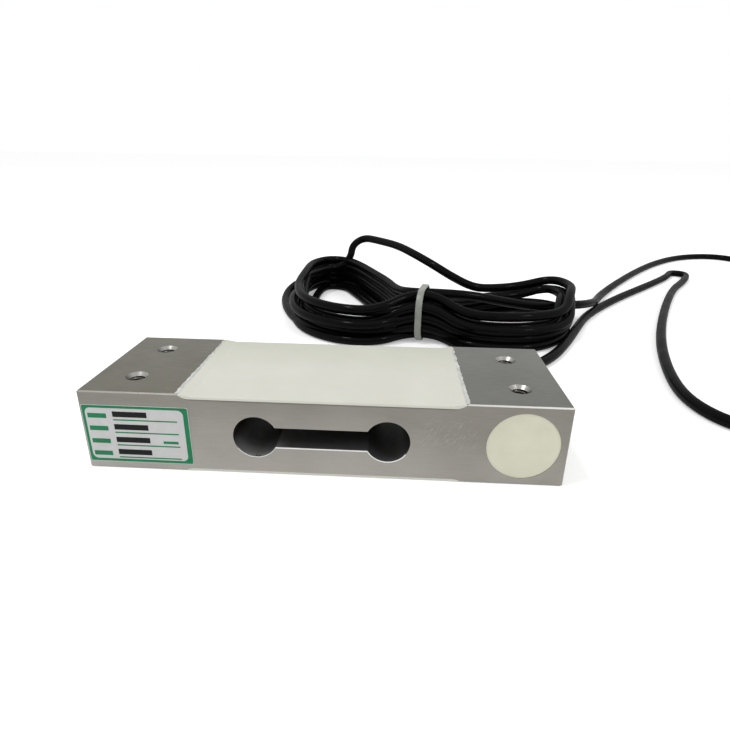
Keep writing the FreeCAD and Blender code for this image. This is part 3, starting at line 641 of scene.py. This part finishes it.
def print_block(bm, x0, x1, z0, z1):
    """A printed patch on the label, in millimetres from its lower left corner."""
    y = LABEL_LOW.y
    return add_block(bm, (LABEL_LOW.x + x0 * MM, y - INK, LABEL_LOW.z + z0 * MM),
                     (LABEL_LOW.x + x1 * MM, y - 0.001 * MM, LABEL_LOW.z + z1 * MM))


def rounded_window(bm, x0, x1, z0, z1, radius):
    """A circle pulled apart at its quadrants into a rounded outline on the label's face."""
    segments = 28
    ring = bmesh.ops.create_circle(bm, cap_ends=False, segments=segments, radius=radius)["verts"]
    bmesh.ops.rotate(bm, matrix=Matrix.Rotation(math.pi / segments, 3, "Z"), verts=ring)
    for vert in ring:
        x = vert.co.x + (x1 - radius if vert.co.x > 0 else x0 + radius)
        z = vert.co.y + (z1 - radius if vert.co.y > 0 else z0 + radius)
        vert.co = (LABEL_LOW.x + x * MM, LABEL_LOW.y - INK, LABEL_LOW.z + z * MM)
    return list({edge for vert in ring for edge in vert.link_edges})


def make_label_border():
    """Green frame of the label, wider at the right, round a window with rounded corners."""
    bm = bmesh.new()
    outer = rounded_window(bm, 0.15, 33.35, 0.15, 19.85, 0.55)
    inner = rounded_window(bm, 1.0, 31.9, 1.05, 19.0, 1.8)
    bmesh.ops.bridge_loops(bm, edges=outer + inner)
    bmesh.ops.solidify(bm, geom=bm.faces[:], thickness=INK * 0.9)
    return add_piece("label_border", bm, LABEL_GREEN)


def make_label_print():
    """Four ruled rows, each with a plain green bar and a plain dark bar above its line."""
    lines = bmesh.new()
    legends = bmesh.new()
    values = bmesh.new()
    for z in LABEL_ROWS:
        print_block(lines, 9.6, 29.8, z - 0.22, z + 0.22)
        print_block(legends, 1.7, 7.6, z + 0.5, z + 2.1)
        print_block(values, 9.6, 20.4, z + 1.0, z + 2.9)
    print_block(legends, 24.6, 29.4, LABEL_ROWS[2] + 1.0, LABEL_ROWS[2] + 1.9)
    add_piece("label_lines", lines, LABEL_GREEN)
    add_piece("label_legends", legends, LABEL_GREEN)
    add_piece("label_values", values, LABEL_INK)


# ---------------------------------------------------------------- coat's smeared ends
# distance from the middle of the beam, and width at the centre line, in millimetres
SKIN_START = 43.2
SKIN_WIDTH = 1.15


def make_smear(name, side, rng):
    """Ragged skin of silicone where one end of the coat runs out onto the pad."""
    bm = bmesh.new()
    bmesh.ops.create_grid(bm, x_segments=4, y_segments=130, size=1)
    beam = BVHTree.FromObject(nodes["beam_body"], bpy.context.evaluated_depsgraph_get())
    coat = BVHTree.FromObject(nodes["sealant_top"], bpy.context.evaluated_depsgraph_get())
    waves = [(rng.uniform(200, 3200), rng.uniform(0, math.tau), rng.uniform(0.3, 1.0)) for _ in range(9)]
    for vert in bm.verts:
        y = vert.co.y * (HALF_WIDTH - 0.35 * MM)
        share = (vert.co.x + 1) / 2
        ripple = sum(size * math.sin(rate * y + phase) for rate, phase, size in waves) / 4
        reach = (SKIN_START + share * (SKIN_WIDTH - 12 * y + 0.22 * ripple)) * MM
        x = side * reach
        height = max(hit.z for hit in (tree.ray_cast(Vector((x, y, 0.05)), Vector((0, 0, -1)))[0]
                                       for tree in (beam, coat)) if hit)
        rise = 0.10 * math.sin(math.pi * share) + rng.uniform(-0.01, 0.02) - 0.012 * (share > 0.99)
        vert.co = (x, y, height + rise * MM)
    return add_piece(name, bm, SMEAR, 60)


def make_cutout_edge():
    """Thin bead along the lower front rim of the bores and the slot, coloured near white as a painted
    highlight.
    """
    bm = bmesh.new()
    front = -HALF_WIDTH - 0.02 * MM
    slot_half = 3.45 * MM
    bore_radius = 7.0 * MM
    reach = math.asin(slot_half / bore_radius)
    for side in (-1, 1):
        middle = Vector((side * BORE_X, front, BORE_Z))
        ring = bmesh.ops.create_circle(bm, cap_ends=True, segments=8, radius=0.17 * MM)["verts"]
        bmesh.ops.rotate(bm, matrix=Matrix.Rotation(-reach, 3, "Y"), verts=ring)
        inner = Vector((-side * bore_radius * math.cos(reach), 0, -slot_half))
        bmesh.ops.translate(bm, vec=middle + inner, verts=ring)
        faces = list({face for vert in ring for face in vert.link_faces})
        bmesh.ops.spin(bm, geom=faces, cent=middle, axis=(0, -side, 0), angle=math.radians(115), steps=36)
    span = 2 * (BORE_X - bore_radius * math.cos(reach))
    bar = bmesh.ops.create_circle(bm, cap_ends=True, segments=8, radius=0.20 * MM)["verts"]
    bmesh.ops.rotate(bm, matrix=Matrix.Rotation(math.pi / 2, 3, "Y"), verts=bar)
    bmesh.ops.translate(bm, vec=(-span / 2, front, BORE_Z - slot_half), verts=bar)
    faces = list({face for vert in bar for face in vert.link_faces})
    grown = bmesh.ops.extrude_face_region(bm, geom=faces)["geom"]
    far_end = [item for item in grown if isinstance(item, bmesh.types.BMVert)]
    bmesh.ops.translate(bm, vec=(span, 0, 0), verts=far_end)
    return add_piece("cutout_edge", bm, EDGE_HIGHLIGHT, 60)


def make_burr():
    """Small burr left at the bottom of the left bore's mouth, its metal painted dark as shade."""
    bm = bmesh.new()
    bmesh.ops.create_cone(bm, cap_ends=True, segments=5, radius1=0.75 * MM, radius2=0.12 * MM,
                          depth=1.1 * MM)
    bmesh.ops.bevel(bm, geom=bm.edges[:], offset=0.08 * MM, segments=2, profile=0.5, affect="EDGES",
                    material=-1)
    bmesh.ops.scale(bm, vec=(1.25, 0.6, 1), verts=bm.verts)
    bmesh.ops.translate(bm, vec=(-20.1 * MM, -24.4 * MM, 6.7 * MM), verts=bm.verts)
    return add_piece("bore_burr", bm, SHADED_HOLE_METAL, 30)


# ---------------------------------------------------------------- threads
def make_thread(name, x, y):
    """Screw thread inside one tapped hole: a small ridge wound up the bore, its metal painted dark as
    shade.
    """
    bm = bmesh.new()
    root = 2.52 * MM
    crest = 2.15 * MM
    pitch = 1.0 * MM
    start = 1.2 * MM
    turns = 24
    ring = 28
    profile = [bm.verts.new((root, 0, start)), bm.verts.new((crest, 0, start + pitch * 0.45)),
               bm.verts.new((crest, 0, start + pitch * 0.55)), bm.verts.new((root, 0, start + pitch))]
    edges = [bm.edges.new((a, b)) for a, b in zip(profile, profile[1:])]
    bmesh.ops.spin(bm, geom=profile + edges, cent=(0, 0, 0), axis=(0, 0, 1), angle=math.tau * turns,
                   steps=ring * turns, dvec=(0, 0, pitch / ring), use_merge=False)
    bmesh.ops.translate(bm, vec=(x, y, 0), verts=bm.verts)
    return add_piece(name, bm, SHADED_HOLE_METAL, 40)


# ---------------------------------------------------------------- floor, light and camera
def make_floor():
    """White paper that looks even to the camera and still takes shadows."""
    bm = bmesh.new()
    bmesh.ops.create_grid(bm, x_segments=1, y_segments=1, size=6)
    mesh = bpy.data.meshes.new("floor")
    bm.to_mesh(mesh)
    bm.free()
    floor = bpy.data.objects.new("floor", mesh)
    bpy.context.scene.collection.objects.link(floor)
    material, shader = new_material("floor_paper")
    set_inputs(shader, Base_Color=(0.97, 0.97, 0.97, 1), Roughness=0.9, Specular_IOR_Level=0.0,
               Emission_Color=(1, 1, 1, 1))
    link(material, spread(material, seen_directly(material), 0.0, 0.3, 0.0, 1.0),
         shader.inputs["Emission Strength"])
    mesh.materials.append(material)


def make_world():
    """White studio: full white where it is seen, softer where it lights the part."""
    world = bpy.data.worlds.new("studio")
    bpy.context.scene.world = world
    world.use_nodes = True
    backdrop = world.node_tree.nodes["Background"]
    set_inputs(backdrop, Color=(1, 1, 1, 1))
    link(world, spread(world, seen_directly(world), 0.70, 1.0, 0.0, 1.0), backdrop.inputs["Strength"])


def add_softbox(name, place, target, size, power):
    """A rectangular lamp aimed at a place."""
    lamp = bpy.data.lights.new(name, "AREA")
    lamp.shape = "RECTANGLE"
    lamp.size, lamp.size_y = size
    lamp.energy = power
    box = bpy.data.objects.new(name, lamp)
    box.location = place
    box.rotation_euler = (Vector(target) - Vector(place)).to_track_quat("-Z", "Y").to_euler()
    bpy.context.scene.collection.objects.link(box)


def make_camera():
    """Camera in front of the labelled face, looking down on the part."""
    camera = bpy.data.cameras.new("camera")
    camera.sensor_width = 36
    camera.lens = 26.46
    camera.clip_start = 0.005
    camera.clip_end = 50
    seat = bpy.data.objects.new("camera", camera)
    right = Vector((0.9984, 0.0555, 0.0132))
    up = Vector((-0.0331, 0.3754, 0.9263))
    back = Vector((0.0465, -0.9252, 0.3767))
    turn = Matrix((right, up, back)).transposed().to_4x4()
    seat.matrix_world = Matrix.Translation((0.0204, -0.16827, 0.09686)) @ turn
    bpy.context.scene.collection.objects.link(seat)
    bpy.context.scene.camera = seat


# ---------------------------------------------------------------- assembly
finish_cad_nodes()
cable = make_cable()
tie = make_tie()
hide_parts("cable_tie")
on_cable = [tie, nodes["cable_seal"]]
for colour in CORE_PLASTIC:
    on_cable += [nodes["bare_core_" + colour], nodes["bare_tip_" + colour]]
cable_length(cable)
make_label_border()
make_label_print()
for side, x in (("left", -HOLE_X), ("right", HOLE_X)):
    for end, y in (("front", -HOLE_Y), ("back", HOLE_Y)):
        make_thread("thread_" + side + "_" + end, x, y)

smear_rng = random.Random(11)
make_smear("coat_smear_left", -1, smear_rng)
make_smear("coat_smear_right", 1, smear_rng)
make_cutout_edge()
make_burr()

make_floor()
make_world()
add_softbox("key", (-0.5, -0.2, 1.3), (0.05, 0.08, 0), (0.22, 0.22), 5.0)
add_softbox("fill", (0.9, -0.5, 0.9), (0.05, 0.08, 0), (0.22, 0.22), 2.5)
make_camera()
bpy.context.scene.view_settings.view_transform = "Standard"
